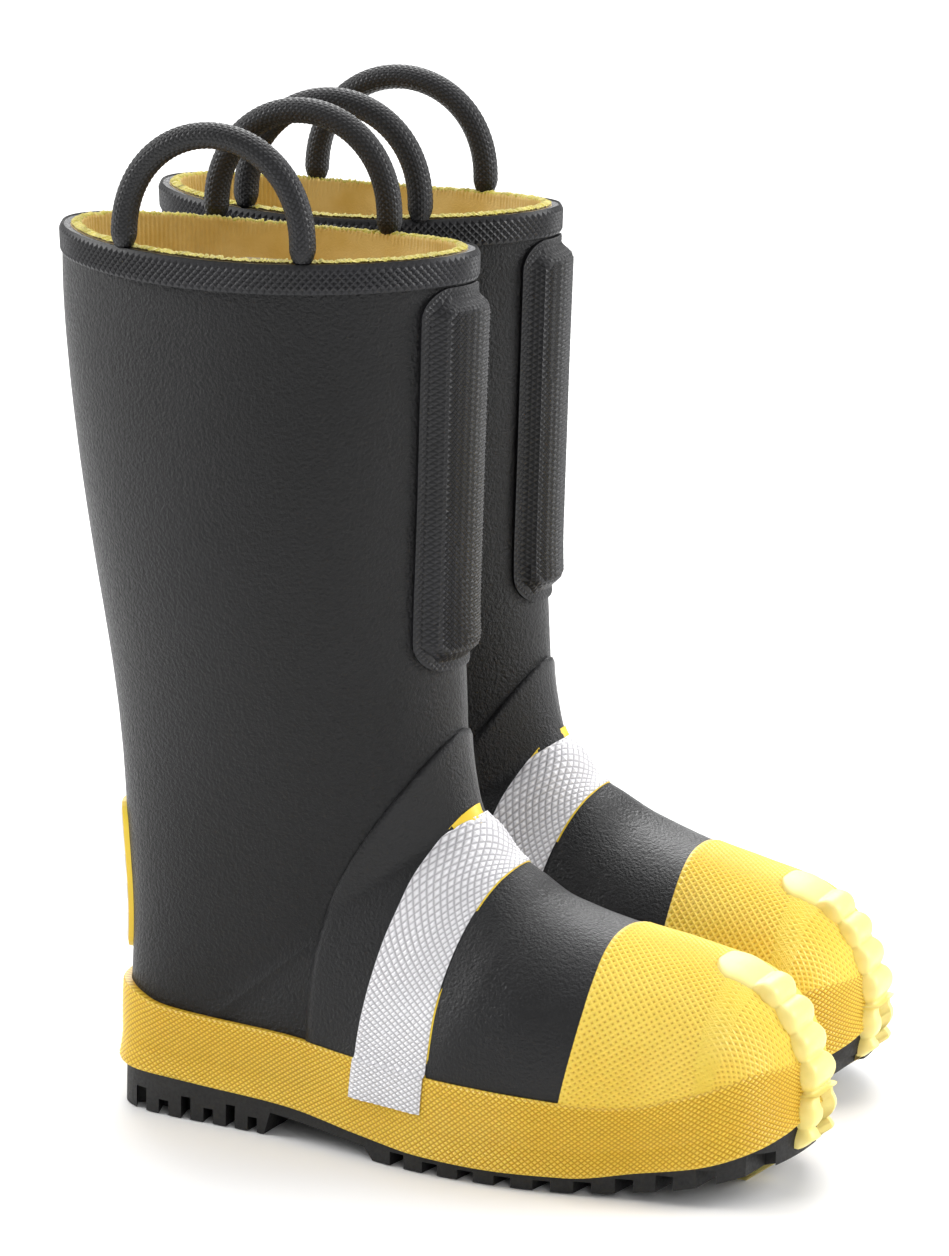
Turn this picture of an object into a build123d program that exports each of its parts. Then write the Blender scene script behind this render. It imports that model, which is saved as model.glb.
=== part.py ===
from build123d import *
import math
import os

os.makedirs("parts", exist_ok=True)

# A pair of pull-on rubber fire boots, about men's size 11, standing side by side.
# The right boot is built round its own axes: x towards its inner side, f forward
# from the heel, z up from the floor.  The left boot is its mirror image.
# In the part's frame the toes point to -Y, +Z is up, and the right boot is at -X.

# ---------------------------------------------------------------- driving sizes
SPACING = 133.6        # between the two boots' own centre planes
STAGGER = 20.6         # the left boot stands this much further back
TOE_OUT = -1.25        # degrees that each boot is turned
LENGTH = 312.0         # heel to toe over the rubber shell
NOSE_Z = 37.3          # height of the foremost point of the toe
NOSE_POWER = 2.5       # how square the toe is in plan
RIM_END_Z = 384.5      # top edge at front and back
RIM_SIDE_Z = 380.0     # top edge at the sides, a little lower
GAP = 0.05             # bonded layers lie this far apart

SHELL = 3.0            # rubber shell
LINING = 4.0           # knitted lining
RIM_BAND = 12.0        # height of the rim binding
FOX = 3.2              # foxing strip round the foot
OVERLAY = 1.3          # vamp overlay
CAP = 2.2              # toe cap cover
LOOP_R = 5.6           # pull loop tube radius
LOOP_SPAN = 84.0       # between its feet
LOOP_RISE = 45.0       # hinge line to the top of its centre line
LOOP_X = 47.8          # its distance from the boot's centre plane
LOOP_LIFT = 0.3        # its feet stand this clear of the rim

# Stations from the top of the shaft to the toe.  Each one is a slice through the
# boot: its back or bottom point (f, z), its front or top point (f, z), half
# width, sideways shift, where it is widest, and how full its two ends are.
STATIONS = [
    (-39.2, 384.4, 148.7, 384.6, 56.2, 0, 0.50, 2.0, 2.0),
    (-32.9, 301.7, 147.4, 301.2, 58.0, 0, 0.50, 2.0, 2.0),
    (-19.4, 227.1, 147.0, 236.0, 55.9, 0, 0.48, 2.0, 2.0),
    (-9.3, 168.7, 150.3, 194.3, 48.8, 0, 0.46, 2.0, 2.1),
    (-4.0, 120.6, 152.5, 171.1, 44.4, 0, 0.42, 2.0, 2.3),
    (0.4, 77.1, 155.4, 156.7, 41.4, 0, 0.38, 2.0, 2.6),
    (0.9, 43.7, 157.5, 149.0, 39.7, 0, 0.36, 2.0, 3.0),
    (3.0, 19.0, 160.3, 143.4, 38.0, 0, 0.34, 2.0, 3.4),
    (40.8, 16.0, 166.8, 137.6, 39.5, 0, 0.32, 2.1, 3.8),
    (86.1, 14.5, 175.7, 126.2, 42.2, 0, 0.30, 2.1, 4.2),
    (127.1, 10.0, 187.3, 118.0, 48.4, -1, 0.30, 2.2, 4.4),
    (159.9, 7.0, 196.1, 111.8, 52.9, -2, 0.32, 2.2, 4.4),
    (192.7, 5.8, 207.7, 106.7, 53.7, -1, 0.34, 2.3, 4.4),
    (226.5, 6.3, 228.7, 101.0, 51.5, 2, 0.36, 2.3, 4.4),
    (255.3, 10.9, 253.7, 95.9, 47.6, 5, 0.38, 2.4, 4.2),
]
NOSE_ANGLES = (22, 40, 56, 70, 80, 86)
RING = 28              # points round each slice
DENSE = 180
SPLIT = 13             # the slice where the leg's loft meets the foot's


# ---------------------------------------------------------------- the boot's form
def nose_rows(last):
    """Slices that close the toe, from the last station on."""
    fb, zb, ft, zt, half, shift, widest, upper, lower = last
    rows = []
    for degrees in NOSE_ANGLES:
        s = math.sin(math.radians(degrees)) ** (2 / NOSE_POWER)
        c = math.cos(math.radians(degrees)) ** (2 / NOSE_POWER)
        f = fb + (LENGTH - fb) * s
        low = NOSE_Z - (NOSE_Z - zb - 9 * s) * c
        high = NOSE_Z + (zt - NOSE_Z - 7 * s) * c
        rows.append((f, low, f, high, half * c, shift + 3 * s, widest, upper, lower))
    return rows


def between(rows, places):
    """Values at the given places along the rows, by monotone cubic curves."""
    width = len(rows[0])
    last = len(rows) - 1
    slopes = []
    for i in range(last + 1):
        before = [rows[i][j] - rows[i - 1][j] for j in range(width)] if i else None
        after = [rows[i + 1][j] - rows[i][j] for j in range(width)] if i < last else None
        if before is None or after is None:
            slopes.append(after or before)
            continue
        slopes.append([2 * a * b / (a + b) if a * b > 0 else 0.0
                       for a, b in zip(before, after)])
    out = []
    for place in places:
        i = min(max(int(place), 0), last - 1)
        t = place - i
        h00, h10 = 2 * t**3 - 3 * t**2 + 1, t**3 - 2 * t**2 + t
        h01, h11 = 3 * t**2 - 2 * t**3, t**3 - t**2
        out.append([h00 * rows[i][j] + h10 * slopes[i][j]
                    + h01 * rows[i + 1][j] + h11 * slopes[i + 1][j]
                    for j in range(width)])
    return out


def all_rows():
    """Every slice that the lofts use, with one above the rim to cut back from."""
    keys = [list(row) for row in STATIONS]
    keys += [list(row) for row in nose_rows(STATIONS[-1])]
    places = [0, 1, 2, 3] + [3.5 + 0.5 * i for i in range(22)]
    places += list(range(15, len(keys)))
    rows = between(keys, places)
    top = list(rows[0])
    top[1] += 22
    top[3] += 22
    top[0] -= 1.0
    top[2] += 0.8
    return [top] + rows


def unit(x, y):
    size = math.hypot(x, y) or 1.0
    return x / size, y / size


def moved_rows(offset):
    """The slices moved out of the surface by offset, square to it."""
    rows = all_rows()
    count = len(rows)
    first_nose = count - len(NOSE_ANGLES)
    out = []
    for i, row in enumerate(rows):
        a, b = rows[max(i - 1, 0)], rows[min(i + 1, count - 1)]
        low = unit(b[0] - a[0], b[1] - a[1])
        high = unit(b[2] - a[2], b[3] - a[3])
        side = 1.0
        if i >= first_nose:
            side = unit(b[0] - a[0], b[4] - a[4])[0]
        new = list(row)
        new[0] += offset * low[1]
        new[1] -= offset * low[0]
        new[2] -= offset * high[1]
        new[3] += offset * high[0]
        new[4] += offset * side
        out.append(new)
    return out


def ring(row, count=RING):
    """Points round one slice, evenly spaced along its outline."""
    fb, zb, ft, zt, half, shift, widest, upper, lower = row
    side = []
    for i in range(DENSE + 1):
        angle = math.pi * i / DENSE
        c, s = math.cos(angle), math.sin(angle)
        if c >= 0:
            t = widest + (1 - widest) * c ** (2 / upper)
            w = half * s ** (2 / upper)
        else:
            t = widest - widest * (-c) ** (2 / lower)
            w = half * s ** (2 / lower)
        side.append((w, fb + (ft - fb) * t, zb + (zt - zb) * t))
    loop = [(shift + w, f, z) for w, f, z in side]
    loop += [(shift - w, f, z) for w, f, z in side[-2:0:-1]]
    run = [0.0]
    for a, b in zip(loop, loop[1:] + loop[:1]):
        run.append(run[-1] + math.dist(a, b))
    points = []
    k = 0
    for i in range(count):
        goal = run[-1] * i / count
        while run[k + 1] < goal:
            k += 1
        t = (goal - run[k]) / (run[k + 1] - run[k])
        a, b = loop[k], loop[(k + 1) % len(loop)]
        points.append(tuple(p + (q - p) * t for p, q in zip(a, b)))
    return points


def solid(shape):
    """The one solid of a result, or its largest if slivers came with it."""
    return sorted(shape.solids(), key=lambda s: s.volume)[-1]


BODIES = {}


def body(offset):
    """The boot's outer form, moved out by offset, reaching above the rim."""
    key = round(offset, 3)
    if key not in BODIES:
        wires = []
        for row in moved_rows(offset):
            points = [(x, -f, z) for x, f, z in ring(row)]
            even = [i / RING for i in range(RING + 1)]
            wires.append(Wire([Edge.make_spline(points, periodic=True, parameters=even)]))
        leg = Solid.make_loft(wires[:SPLIT + 1], False).faces()
        foot = Solid.make_loft(wires[SPLIT:], False).faces()
        skin = [f for f in leg + foot if f.geom_type != GeomType.PLANE]
        top = max(leg - skin, key=lambda f: f.center().Z)
        toe = min(foot - skin, key=lambda f: f.center().Y)
        BODIES[key] = Solid(Shell([top, toe] + skin))
    return BODIES[key]


# ---------------------------------------------------------------- cutting regions
def side_prism(outline, low=-110.0, high=110.0):
    """A prism across the boot whose side view is the outline of (f, z) points."""
    points = [(low, -f, z) for f, z in outline]
    return extrude(make_face(Polyline(*points, close=True)),
                   amount=high - low, dir=(1, 0, 0))


def curve(points, steps=4):
    """Points along a smooth line through the given (f, z) points."""
    places = [i / steps for i in range(steps * (len(points) - 1) + 1)]
    return [tuple(p) for p in between([list(p) for p in points], places)]


def band(lower, upper):
    """The prism between two lines of (f, z) points that run the same way."""
    return side_prism(list(lower) + list(upper)[::-1])


def front_prism(outline, f_low, f_high):
    """A prism along the boot whose front view is the outline of (x, z) points."""
    points = [(x, -f_low, z) for x, z in outline]
    return extrude(make_face(Polyline(*points, close=True)),
                   amount=f_high - f_low, dir=(0, -1, 0))


def rounded_box(x0, x1, z0, z1, radius, corner=5):
    """Outline points of a rectangle with rounded corners."""
    points = []
    for cx, cz, start in ((x1 - radius, z1 - radius, 0), (x0 + radius, z1 - radius, 90),
                          (x0 + radius, z0 + radius, 180), (x1 - radius, z0 + radius, 270)):
        for i in range(corner + 1):
            a = math.radians(start + 90 * i / corner)
            points.append((cx + radius * math.cos(a), cz + radius * math.sin(a)))
    return points


def shell_low(f):
    """Height of the shell's underside at f, on the centre line."""
    rows = all_rows()
    line = [(r[0], r[1]) for r in rows if r[1] < 36 and r[0] > 3.3]
    line = sorted(line)
    if f <= line[0][0]:
        return line[0][1]
    for (f0, z0), (f1, z1) in zip(line, line[1:]):
        if f <= f1:
            return z0 + (z1 - z0) * (f - f0) / (f1 - f0)
    return line[-1][1]


def rim_line(drop=0.0):
    """The top edge in side view, lower at the sides of the boot."""
    points = []
    for i in range(21):
        f = -75 + 21.5 * i
        t = (f - 55) / 94
        points.append((f, RIM_SIDE_Z + (RIM_END_Z - RIM_SIDE_Z) * min(t * t, 1.6) - drop))
    return points


def below_rim(drop=0.0, depth=450.0):
    line = rim_line(drop)
    return band([(f, z - depth) for f, z in line], line)


def floor_line(height, f_end=292.0):
    """A line in side view that keeps this height above the shell's underside."""
    places = [-60, 4, 30, 60, 90, 110, 130, 150, 170, 195, 215, 240, 258, 270, 282]
    line = [(f, shell_low(f) + height) for f in places if f < f_end]
    f0, z0 = line[-1]
    return line + [(f0 + 50, z0 + 24)]


def under(height):
    line = floor_line(height)
    return band([(f, -50) for f, z in line], line)


def over(height):
    line = floor_line(height)
    return band(line, [(f, 450) for f, z in line])


def ahead(f, back=400.0):
    """Everything forward of f."""
    return side_prism([(f, -50), (f + back, -50), (f + back, 450), (f, 450)])


# Lines on the boot in side view, (f, z).
FOX_TOP = curve([(-60, 57), (4, 55), (15, 52.5), (26, 49.6), (44, 47.8), (89, 46),
                 (125, 42.6), (163, 42), (202, 40.6), (234, 38.8), (253, 40.3),
                 (272, 46), (290, 52.8), (304, 57.6), (340, 58)])
VAMP_REAR = curve([(172, 200), (150, 177), (139, 164.7), (125, 144.3), (112, 119.8),
                   (105, 101.8), (101.8, 85.7), (100.5, 69), (100.2, 55), (100.8, 25)])
STRIP_REAR = curve([(172, 160), (156.4, 145), (147, 129.4), (142.3, 119.6),
                    (138.7, 108.3), (134.3, 94.6), (131, 80.8), (128.4, 67),
                    (126.6, 53), (125, 20)])
STRIP_FRONT = curve([(192, 138), (177.5, 120.5), (173.5, 111.8), (170.2, 101.8),
                     (167.6, 91), (165.4, 79), (164, 67), (163.6, 54), (163.2, 42),
                     (162, 20)])
CAP_REAR = curve([(227, 125), (228, 108), (229.6, 98.8), (230.2, 90), (229.9, 80.4),
                  (228.4, 66.8), (226, 52.6), (223.6, 39.8), (220, 15)])


def fox_line(raise_by=0.0):
    return [(f, z + raise_by) for f, z in FOX_TOP]


def above_fox(raise_by=0.0):
    line = fox_line(raise_by)
    return band(line, [(f, 460) for f, z in line])


def below_fox(raise_by=0.0):
    line = fox_line(raise_by)
    return band([(f, -60) for f, z in line], line)


def forward_of(line, shift=0.0):
    """Everything forward of a line that runs from top to bottom."""
    moved = [(f + shift, z) for f, z in line]
    return side_prism([(400, moved[0][1])] + moved + [(400, moved[-1][1])])


def behind(line, shift=0.0):
    moved = [(f + shift, z) for f, z in line]
    return side_prism([(-120, moved[0][1])] + moved + [(-120, moved[-1][1])])


# ---------------------------------------------------------------- the pieces
PIECES = {}


def keep(name, shape):
    PIECES[name] = solid(shape)
    print(name, round(PIECES[name].volume / 1000, 2), "cm3", flush=True)


def layer(outer, inner, region):
    """The part of a layer between two offsets that lies in the region."""
    return (body(outer) & region) - body(inner)


# The nested rubber, lining and hidden pieces.
def add_shell():
    keep("rubber_shell", layer(0.0, -SHELL, below_rim()))


def add_bottom_stack():
    room = body(-SHELL - GAP)
    keep("cushion", room & under(6.0))
    keep("steel_midsole", body(-5.0) & band(floor_line(6.05), floor_line(6.7))
         & side_prism([(22, -50), (272, -50), (272, 100), (22, 100)]))
    slot = front_prism([(-9.05, -50), (9.05, -50), (9.05, 100), (-9.05, 100)], 54.95, 150.05)
    shank = front_prism([(-9, -50), (9, -50), (9, 100), (-9, 100)], 55, 150)
    keep("shank", shank & band(floor_line(6.75), floor_line(8.5)))
    board = room & band(floor_line(6.75), floor_line(11.0))
    keep("insole_board", board - (slot & band(floor_line(6.0), floor_line(8.55))))


TAB_Z = (338.0, 377.0)
TAB_F = (0.0, 110.0)
COUNTER = ((-30, 36), (34, 36), (44, 60), (20, 84), (-30, 84))
STEEL_BACK = 240.0


def tab_region(side, grow=0.0):
    f0, f1 = TAB_F[0] - grow, TAB_F[1] + grow
    z0, z1 = TAB_Z[0] - grow, TAB_Z[1] + grow
    low, high = (0, 110) if side > 0 else (-110, 0)
    return side_prism([(f0, z0), (f1, z0), (f1, z1), (f0, z1)], low, high)


def grown(outline, by):
    """A convex outline grown about its middle."""
    cx = sum(p[0] for p in outline) / len(outline)
    cz = sum(p[1] for p in outline) / len(outline)
    return [(cx + (x - cx) * by, cz + (z - cz) * by) for x, z in outline]


def add_lining():
    lining = (body(-SHELL - GAP) & over(11.05)) & below_rim()
    lining -= body(-SHELL - LINING) & over(14.0)
    lining -= (body(-2.0) & ahead(STEEL_BACK - 5.05)) - body(-4.9)
    for side in (-1, 1):
        lining -= (body(-2.0) & tab_region(side, 0.05)) - body(-4.6)
    lining -= (body(-2.0) & side_prism(grown(COUNTER, 1.004))) - body(-4.6)
    keep("lining", lining)
    keep("footbed", body(-SHELL - LINING - 0.3) & band(floor_line(14.05), floor_line(19.0)))


def add_hidden():
    steel = layer(-SHELL - GAP, -4.85, ahead(STEEL_BACK)) & over(11.05)
    keep("steel_toe_cap", steel)
    strip = side_prism([(STEEL_BACK - 5, 0), (STEEL_BACK - GAP, 0),
                        (STEEL_BACK - GAP, 200), (STEEL_BACK - 5, 200)])
    keep("toe_cap_gasket", layer(-SHELL - GAP, -4.85, strip) & over(11.05))
    keep("loop_tab_outer", layer(-SHELL - GAP, -4.55, tab_region(-1)))
    keep("loop_tab_inner", layer(-SHELL - GAP, -4.55, tab_region(1)))
    keep("heel_counter", layer(-SHELL - GAP, -4.55, side_prism(COUNTER)))


# The pieces on the outside.
def add_binding():
    region = below_rim() - below_rim(RIM_BAND)
    keep("rim_binding", layer(1.6, GAP, region))


GUARD = (-25.8, 21.0, 207.5, 371.5)     # x and z limits of the guard's flange
GUARD_CENTRE = -2.4


def add_guard():
    x0, x1, z0, z1 = GUARD
    flange = layer(1.8, GAP, front_prism(rounded_box(x0, x1, z0, z1, 13), 60, 200))
    base = rounded_box(x0 + 1.5, x1 - 1.5, z0 + 5, z1 - 3, 11)
    face = make_face(Polyline(*[(x, -138, z) for x, z in base], close=True))
    rise = extrude(face, amount=22, dir=(0, -1, 0), taper=24)
    plateau = layer(7.4, 1.0, rise)
    core = (GUARD_CENTRE - 14, GUARD_CENTRE + 14, z0 + 17, z1 - 15)
    pocket = rounded_box(core[0] - GAP, core[1] + GAP, core[2] - GAP, core[3] + GAP, 8)
    cover = flange + plateau - (body(5.65) & front_prism(pocket, 60, 200))
    keep("shin_guard_cover", cover)
    keep("shin_guard_pad", layer(5.6, 0.1, front_prism(rounded_box(*core, 8), 60, 200)))


def outside_stack(low, high, region):
    """A layer laid over the boot and over the foxing where that is below it."""
    upper = layer(high, low, region & above_fox(GAP))
    lap_in = max(low, FOX + GAP)
    lap = layer(lap_in + high - low, low, region & band(fox_line(GAP), fox_line(1.4)))
    down = layer(lap_in + high - low, lap_in, region & band(fox_line(-13), fox_line(1.4)))
    return upper + lap + down


def add_upper():
    over_sides = forward_of(VAMP_REAR) - forward_of(CAP_REAR, -GAP)
    keep("vamp_overlay", layer(OVERLAY, GAP, over_sides & above_fox(GAP)))
    keep("toe_cap_cover", layer(CAP, GAP, forward_of(CAP_REAR) & above_fox(GAP)))
    strip = forward_of(STRIP_REAR) - forward_of(STRIP_FRONT)
    backing = forward_of(STRIP_REAR, 0.3) - forward_of(STRIP_FRONT, 0.9)
    keep("strip_backing", layer(1.95, OVERLAY + GAP, backing & above_fox(GAP)))
    keep("reflective_strip", outside_stack(2.0, 2.6, strip))


def add_foxing():
    low = floor_line(0.85, 283)
    region = band(low, [(f, 460) for f, z in low]) & below_fox()
    foxing = layer(FOX, GAP, region)
    lip = layer(4.2, GAP, band(low, [(f, z + 3.2) for f, z in low]))
    keep("foxing", foxing + lip)


# ---------------------------------------------------------------- the outsole
BREAST = 81.0
FIRST_LUG = 139.0
LUG_PITCH = 16.6
LUG_GAP = 7.2


def toe_spring(f):
    return max(f - 217.0, 0.0) ** 2 / 87.0 ** 2 * 14.5


def plan_outline(out):
    """The sole's plan outline, (x, f), moved outwards."""
    rows = all_rows()
    heel = next(i for i, r in enumerate(rows) if r[1] < 19.2)
    side = []
    fb, zb, ft, zt, half, shift, widest, upper, lower = rows[heel]
    for i in range(7):
        t = 0.14 * (i / 6) ** 2
        w = half * (1 - ((widest - t) / widest) ** (lower / 1.0)) ** (1 / lower)
        side.append((shift, w, fb + (ft - fb) * t * 0.8))
    for row in rows[heel + 1:]:
        fb, zb, ft, zt, half, shift = row[:6]
        side.append((shift, half * 0.99, fb + 0.1 * (ft - fb)))
    right = [(s + w, f) for s, w, f in side]
    left = [(s - w, f) for s, w, f in side[1:]]
    loop = right + left[::-1]
    moved = []
    for i, p in enumerate(loop):
        a, b = loop[i - 1], loop[(i + 1) % len(loop)]
        nx, nf = unit(b[1] - a[1], a[0] - b[0])
        moved.append((p[0] + nx * out, p[1] + nf * out))
    return moved


def add_outsole():
    plan = make_face(Spline(*[(x, -f, -1) for x, f in plan_outline(2.0)], periodic=True))
    block = extrude(plan, amount=60, dir=(0, 0, 1))
    top = floor_line(0.8, 283)
    under_side = [(-60, 0), (BREAST, 0), (BREAST + 3, shell_low(BREAST) - 4.5),
                  (FIRST_LUG - 6, shell_low(FIRST_LUG) - 3.6), (FIRST_LUG - 1, 0)]
    under_side += [(f, toe_spring(f)) for f in range(212, 341, 8)]
    profile = side_prism(under_side + [(345, 60)] + top[::-1])
    sole = (block & profile) - body(GAP)
    cutters = []
    for k in range(10):
        f = FIRST_LUG + 9.4 + LUG_PITCH * k
        deep = shell_low(f + 3) - 1.6
        for side in (-1, 1):
            shift = 0 if side < 0 else LUG_PITCH * 0.45
            tall = 2 * max(deep, toe_spring(f + shift) + 4.2)
            cutters.append(Pos(side * 44, -(f + LUG_GAP / 2 + shift), 0)
                           * Rot(0, 0, side * 8) * Box(60, LUG_GAP, tall))
    for k in range(8):
        f = FIRST_LUG + 4 + 18 * k
        cutters.append(Pos(3, -(f + 9), 0) * Rot(0, 0, 38 if k % 2 else -38)
                       * Box(22, 4.5, 2 * max(toe_spring(f + 9) + 3.4, 3.6)))
    for k in range(7):
        f = 8 + 11.2 * k
        tall = 20 if k % 2 else 13
        for side in (-1, 1):
            cutters.append(Pos(side * 40, -f, 0) * Rot(0, 0, side * (-28 + 5 * k))
                           * Box(24, 4.6, tall))
    for x in (-16, 0, 16):
        cutters.append(Pos(x, 0, 0) * Box(4.6, 22, 20 if x == 0 else 13))
    for f in (26, 48):
        cutters.append(Pos(0, -f, 0) * Box(40, 5, 9))
    for cutter in cutters:
        sole -= cutter
    keep("outsole", sole)


# ---------------------------------------------------------------- heel and toe trim
def add_heel():
    stay = rounded_box(-9, 9, 57.5, 236, 8)
    keep("back_stay", layer(1.4, GAP, front_prism(stay, -80, 45)))
    bar = body(1.45) & front_prism(rounded_box(-9.05, 9.05, 57.45, 236.05, 8), -80, 45)
    plate = rounded_box(-23, 23, 66, 132, 9)
    backing = layer(2.1, GAP, front_prism(plate, -80, 45)) - bar
    keep("heel_patch_backing", backing)
    notched = front_prism(rounded_box(-21, 21, 68, 130, 7), -80, 45)
    for x in (-21, 21):
        for z in (86, 99, 112):
            notched -= front_prism([(x - 3, z - 3), (x + 3, z - 3), (x + 3, z + 3),
                                    (x - 3, z + 3)], -80, 45)
    keep("heel_patch", layer(2.75, 2.15, notched))
    disc = rounded_box(-8, 8, 88, 110, 7.9)
    keep("heel_patch_disc", layer(3.3, 2.8, front_prism(disc, -80, 45)))


def top_prism(outline):
    points = [(x, -f, -10) for x, f in outline]
    return extrude(make_face(Polyline(*points, close=True)), amount=200, dir=(0, 0, 1))


BUMPER = [(-3, 292), (-9.5, 288.5), (-10.5, 282), (-6, 273.5), (1, 269), (7, 268),
          (13, 269), (20, 273.5), (24.5, 282), (23.5, 288.5), (17, 292), (19, 301),
          (22, 340), (-8, 340), (-5, 301)]


def add_bumper():
    region = top_prism(BUMPER) & over(6.0)
    bumper = body(4.6) & region
    for k in range(5):
        z = 34 + 10.5 * k
        rib = side_prism([(285, z), (340, z), (340, z + 5.2), (285, z + 5.2)])
        bumper += body(7.0) & (region & rib)
    bumper -= body(CAP + GAP)
    bumper -= body(4.25) & (below_fox(GAP) & over(-20))
    keep("toe_bumper", bumper)


def add_label():
    plate = side_prism(rounded_box(12, 92, 296, 366, 10), 0, 110)
    keep("inner_label", layer(-SHELL - LINING - GAP, -SHELL - LINING - 0.35, plate))


# ---------------------------------------------------------------- pull loops
LOOP_MIDDLE = {"right_outer": 53.5, "right_inner": 47.0,
               "left_outer": 54.5, "left_inner": 63.0}


def loop_height():
    edge = max(z for f, z in rim_line() if 0 < f < 110)
    return edge + LOOP_R + LOOP_LIFT


def pull_loop(side, middle):
    """A tube bent over the rim, with round feet centred on its hinge line."""
    a, top = LOOP_SPAN / 2, LOOP_RISE
    x, z = side * LOOP_X, loop_height()
    line = [(-a, 0), (-a * 0.9, top * 0.72), (-a * 0.36, top * 1.03),
            (a * 0.36, top * 1.03), (a * 0.9, top * 0.72), (a, 0)]
    points = [(x, -(middle + u), z + v) for u, v in line]
    path = FilletPolyline(*points, radius=22)
    start, end = path @ 0, path @ 1
    into, out = path % 0, path % 1
    tube = sweep(Plane(start, z_dir=into) * Circle(LOOP_R), path=path)
    tube += Plane(start, z_dir=into) * Sphere(LOOP_R, -90, 0)
    tube += Plane(end, z_dir=-out) * Sphere(LOOP_R, -90, 0)
    return tube


# ---------------------------------------------------------------- assembly
def placed(shape, side):
    """Put a right-boot shape, or its mirror image, where that boot stands."""
    if side > 0:
        shape = mirror(shape, Plane.YZ)
    return (Pos(side * SPACING / 2, side * STAGGER / 2, 0)
            * Rot(0, 0, side * -TOE_OUT) * shape)


def main():
    add_shell()
    add_bottom_stack()
    add_lining()
    add_hidden()
    add_binding()
    add_guard()
    add_upper()
    add_foxing()
    add_outsole()
    add_heel()
    add_bumper()
    add_label()
    boots = {"right": -1, "left": 1}
    shapes = {}
    for boot, side in boots.items():
        for name, shape in PIECES.items():
            shapes[boot + "_" + name] = placed(shape, side)
        for where, inner in (("outer", -1), ("inner", 1)):
            loop = pull_loop(inner, LOOP_MIDDLE[boot + "_" + where])
            shapes[boot + "_pull_loop_" + where] = placed(solid(loop), side)
    boxes = [shape.bounding_box() for shape in shapes.values()]
    x = (min(b.min.X for b in boxes) + max(b.max.X for b in boxes)) / 2
    y = (min(b.min.Y for b in boxes) + max(b.max.Y for b in boxes)) / 2
    z = min(b.min.Z for b in boxes)
    print("size", [round(v, 2) for v in (2 * (max(b.max.X for b in boxes) - x),
                                         2 * (max(b.max.Y for b in boxes) - y),
                                         max(b.max.Z for b in boxes) - z)])
    print("moved by", [round(v, 3) for v in (-x, -y, -z)])
    for name, shape in shapes.items():
        export_step(Pos(-x, -y, -z) * shape, "parts/" + name + ".step")


main()
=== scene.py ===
import bpy
import math
import numpy as np
from mathutils import Matrix, Vector
from mathutils.bvhtree import BVHTree


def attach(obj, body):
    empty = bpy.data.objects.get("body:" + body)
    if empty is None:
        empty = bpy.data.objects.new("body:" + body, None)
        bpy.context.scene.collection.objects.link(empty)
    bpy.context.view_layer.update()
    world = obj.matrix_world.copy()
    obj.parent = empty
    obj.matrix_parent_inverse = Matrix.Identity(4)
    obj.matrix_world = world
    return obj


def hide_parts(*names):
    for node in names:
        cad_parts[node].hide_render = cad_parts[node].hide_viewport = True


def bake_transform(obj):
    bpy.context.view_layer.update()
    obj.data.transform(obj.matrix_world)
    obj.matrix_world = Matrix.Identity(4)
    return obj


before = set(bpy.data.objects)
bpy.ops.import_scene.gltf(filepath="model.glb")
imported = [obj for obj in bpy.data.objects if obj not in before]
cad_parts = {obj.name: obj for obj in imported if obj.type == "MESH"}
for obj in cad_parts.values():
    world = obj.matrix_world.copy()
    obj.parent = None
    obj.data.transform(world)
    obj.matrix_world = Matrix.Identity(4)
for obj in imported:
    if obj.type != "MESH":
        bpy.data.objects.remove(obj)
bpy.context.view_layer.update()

# A pair of rubber fire boots.  Each boot is worked out once, in millimetres round the
# right boot's own axes: x towards its inner side, f forward from the heel, z up.
SPACING, STAGGER, TURN, MOVE_Y = 133.6, 20.6, 1.25, 138.801
BOOTS = (("right", -1), ("left", 1))
MM = 0.001

# ------------------------------------------------------------------ the boot's form
STATIONS = [
    (-39.2, 384.4, 148.7, 384.6, 56.2, 0, 0.50, 2.0, 2.0),
    (-32.9, 301.7, 147.4, 301.2, 58.0, 0, 0.50, 2.0, 2.0),
    (-19.4, 227.1, 147.0, 236.0, 55.9, 0, 0.48, 2.0, 2.0),
    (-9.3, 168.7, 150.3, 194.3, 48.8, 0, 0.46, 2.0, 2.1),
    (-4.0, 120.6, 152.5, 171.1, 44.4, 0, 0.42, 2.0, 2.3),
    (0.4, 77.1, 155.4, 156.7, 41.4, 0, 0.38, 2.0, 2.6),
    (0.9, 43.7, 157.5, 149.0, 39.7, 0, 0.36, 2.0, 3.0),
    (3.0, 19.0, 160.3, 143.4, 38.0, 0, 0.34, 2.0, 3.4),
    (40.8, 16.0, 166.8, 137.6, 39.5, 0, 0.32, 2.1, 3.8),
    (86.1, 14.5, 175.7, 126.2, 42.2, 0, 0.30, 2.1, 4.2),
    (127.1, 10.0, 187.3, 118.0, 48.4, -1, 0.30, 2.2, 4.4),
    (159.9, 7.0, 196.1, 111.8, 52.9, -2, 0.32, 2.2, 4.4),
    (192.7, 5.8, 207.7, 106.7, 53.7, -1, 0.34, 2.3, 4.4),
    (226.5, 6.3, 228.7, 101.0, 51.5, 2, 0.36, 2.3, 4.4),
    (255.3, 10.9, 253.7, 95.9, 47.6, 5, 0.38, 2.4, 4.2),
]
LENGTH, NOSE_Z, NOSE_POWER = 312.0, 37.3, 2.5
NOSE_ANGLES = (22, 40, 56, 70, 80, 86)
RIM_END, RIM_SIDE, BAND = 384.5, 380.0, 12.0


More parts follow.
